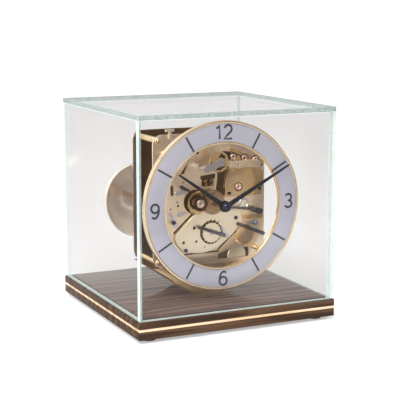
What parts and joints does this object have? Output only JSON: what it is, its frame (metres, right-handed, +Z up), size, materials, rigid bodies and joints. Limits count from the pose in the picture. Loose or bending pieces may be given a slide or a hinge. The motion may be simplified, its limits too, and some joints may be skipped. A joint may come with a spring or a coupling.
{
  "type": "mantel clock",
  "caption": "Key-wound skeleton mantel clock with ring dial, brass bell-strike movement on a stand, square wooden base and lift-off glass cover.",
  "frame": {"origin": "middle of the footprint, on the table under the feet", "axes": "+Z up, -Y towards the viewer of the dial, +X to the right as seen from the dial side"},
  "size_m": [0.182, 0.182, 0.184],
  "materials": {
    "walnut": "satin lacquered walnut veneer",
    "maple": "satin inlay line",
    "lacquered_wood": "high gloss lacquer over dark walnut",
    "foot_rubber": "matte",
    "glass": "polished float glass, pale green edges",
    "silvered_dial": "fine matt silvered",
    "brass": "polished and lacquered",
    "pale_brass": "fine brushed, pale gold",
    "bell_metal": "bright polished champagne nickel",
    "steel": "polished steel",
    "blackened_hands": "blue-black"
  },
  "bodies": {
    "frame": {"base_lower_board": "walnut", "base_inlay": "maple", "base_upper_board": "walnut", "cover_locating_panel": "lacquered_wood", "foot_front_left": "foot_rubber", "foot_front_right": "foot_rubber", "foot_rear_left": "foot_rubber", "foot_rear_right": "foot_rubber", "movement_stand": "brass", "front_plate": "pale_brass", "back_plate": "brass", "pillar_upper_left": "brass", "pillar_upper_right": "brass", "pillar_lower_left": "brass", "pillar_lower_right": "brass", "strike_bridge": "pale_brass", "train_bridge": "brass", "escapement_bridge": "brass", "balance_cock": "steel", "dial_ring": "silvered_dial", "dial_bezel": "brass", "dial_inner_ring": "brass", "dial_post_upper_left": "brass", "dial_post_upper_right": "brass", "dial_post_lower_left": "brass", "dial_post_lower_right": "brass", "bell": "bell_metal", "bell_post": "brass"},
    "cover": {"glass_front": "glass", "glass_rear": "glass", "glass_left": "glass", "glass_right": "glass", "glass_top": "glass"},
    "time_barrel": {"time_barrel": "brass", "time_mainspring": "steel"},
    "time_winding": {"time_winding_arbor": "steel", "time_ratchet_wheel": "steel"},
    "time_click": {"time_click": "steel"},
    "second_wheel": {"second_wheel": "brass"},
    "centre": {"centre_wheel": "brass", "cannon_pinion": "steel", "minute_hand": "blackened_hands"},
    "minute_wheel": {"minute_wheel": "brass"},
    "hour": {"hour_wheel": "brass", "hour_hand": "blackened_hands"},
    "third_wheel": {"third_wheel": "brass"},
    "escape_wheel": {"escape_wheel": "brass"},
    "pallets": {"pallet_lever": "steel"},
    "balance": {"balance_wheel": "brass", "hairspring": "steel"},
    "strike_barrel": {"strike_barrel": "brass", "strike_mainspring": "steel"},
    "strike_winding": {"strike_winding_arbor": "steel", "strike_ratchet_wheel": "steel"},
    "strike_click": {"strike_click": "steel"},
    "strike_second": {"strike_second_wheel": "brass"},
    "strike_third": {"strike_third_wheel": "brass"},
    "fly": {"fly": "brass"},
    "hammer": {"hammer": "steel"},
    "lifting_lever": {"lifting_lever": "steel"}
  },
  "joints": [
    {"name": "cover_lift", "type": "slide", "parent": "frame", "child": "cover", "axis": [0, 0, 1], "range_m": [0, 0.17]},
    {"name": "centre_turn", "type": "hinge", "parent": "frame", "child": "centre", "pos_m": [0, -0.02, 0.101], "axis": [0, -1, 0], "continuous": true},
    {"name": "time_barrel_turn", "type": "hinge", "parent": "frame", "child": "time_barrel", "pos_m": [0.03311, -0.02, 0.06935], "axis": [0, -1, 0], "continuous": true},
    {"name": "second_wheel_turn", "type": "hinge", "parent": "frame", "child": "second_wheel", "pos_m": [0.02378, -0.02, 0.09048], "axis": [0, -1, 0], "continuous": true},
    {"name": "minute_wheel_turn", "type": "hinge", "parent": "frame", "child": "minute_wheel", "pos_m": [-0.013, -0.02, 0.101], "axis": [0, -1, 0], "continuous": true},
    {"name": "hour_turn", "type": "hinge", "parent": "frame", "child": "hour", "pos_m": [0, -0.02, 0.101], "axis": [0, -1, 0], "continuous": true},
    {"name": "third_wheel_turn", "type": "hinge", "parent": "frame", "child": "third_wheel", "pos_m": [0.01685, -0.02, 0.11514], "axis": [0, -1, 0], "continuous": true},
    {"name": "escape_wheel_turn", "type": "hinge", "parent": "frame", "child": "escape_wheel", "pos_m": [0.02438, -0.02, 0.13204], "axis": [0, -1, 0], "continuous": true},
    {"name": "time_winding_turn", "type": "hinge", "parent": "frame", "child": "time_winding", "pos_m": [0.03311, -0.02, 0.06935], "axis": [0, -1, 0], "continuous": true},
    {"name": "time_click_lift", "type": "hinge", "parent": "frame", "child": "time_click", "pos_m": [0.04452, -0.02, 0.07892], "axis": [0, -1, 0], "range_deg": [-10, 0], "stiffness_Nm_per_rad": 0.0008},
    {"name": "pallet_rock", "type": "hinge", "parent": "frame", "child": "pallets", "pos_m": [0.01586, -0.02, 0.13324], "axis": [0, -1, 0], "range_deg": [-4, 4], "stiffness_Nm_per_rad": 0.0002},
    {"name": "balance_swing", "type": "hinge", "parent": "frame", "child": "balance", "pos_m": [0.00422, -0.02, 0.13614], "axis": [0, -1, 0], "range_deg": [-150, 150], "stiffness_Nm_per_rad": 0.00003},
    {"name": "strike_second_turn", "type": "hinge", "parent": "frame", "child": "strike_second", "pos_m": [-0.0177, -0.02, 0.08885], "axis": [0, -1, 0], "continuous": true},
    {"name": "strike_barrel_turn", "type": "hinge", "parent": "frame", "child": "strike_barrel", "pos_m": [0, -0.02, 0.074], "axis": [0, -1, 0], "continuous": true},
    {"name": "strike_third_turn", "type": "hinge", "parent": "frame", "child": "strike_third", "pos_m": [-0.03113, -0.02, 0.10228], "axis": [0, -1, 0], "continuous": true},
    {"name": "fly_turn", "type": "hinge", "parent": "frame", "child": "fly", "pos_m": [-0.02515, -0.02, 0.11873], "axis": [0, -1, 0], "continuous": true},
    {"name": "strike_winding_turn", "type": "hinge", "parent": "frame", "child": "strike_winding", "pos_m": [0, -0.02, 0.074], "axis": [0, -1, 0], "continuous": true},
    {"name": "strike_click_lift", "type": "hinge", "parent": "frame", "child": "strike_click", "pos_m": [0.01391, -0.02, 0.07027], "axis": [0, -1, 0], "range_deg": [-10, 0], "stiffness_Nm_per_rad": 0.0008},
    {"name": "hammer_lift", "type": "hinge", "parent": "frame", "child": "hammer", "pos_m": [-0.027, -0.02, 0.071], "axis": [0, -1, 0], "range_deg": [0, 12], "stiffness_Nm_per_rad": 0.004},
    {"name": "lever_lift", "type": "hinge", "parent": "frame", "child": "lifting_lever", "pos_m": [0.048, -0.02, 0.089], "axis": [0, -1, 0], "range_deg": [-6, 0], "stiffness_Nm_per_rad": 0.003}
  ],
  "couplings": [
    {"joint": "second_wheel_turn", "follows": "centre_turn", "ratio": -0.3},
    {"joint": "time_barrel_turn", "follows": "centre_turn", "ratio": 0.070588},
    {"joint": "minute_wheel_turn", "follows": "centre_turn", "ratio": -0.33333},
    {"joint": "hour_turn", "follows": "centre_turn", "ratio": 0.083333},
    {"joint": "third_wheel_turn", "follows": "centre_turn", "ratio": -4.5},
    {"joint": "escape_wheel_turn", "follows": "centre_turn", "ratio": 19.286},
    {"joint": "strike_barrel_turn", "follows": "strike_second_turn", "ratio": -0.23529},
    {"joint": "strike_third_turn", "follows": "strike_second_turn", "ratio": -3.75},
    {"joint": "fly_turn", "follows": "strike_second_turn", "ratio": 15}
  ]
}
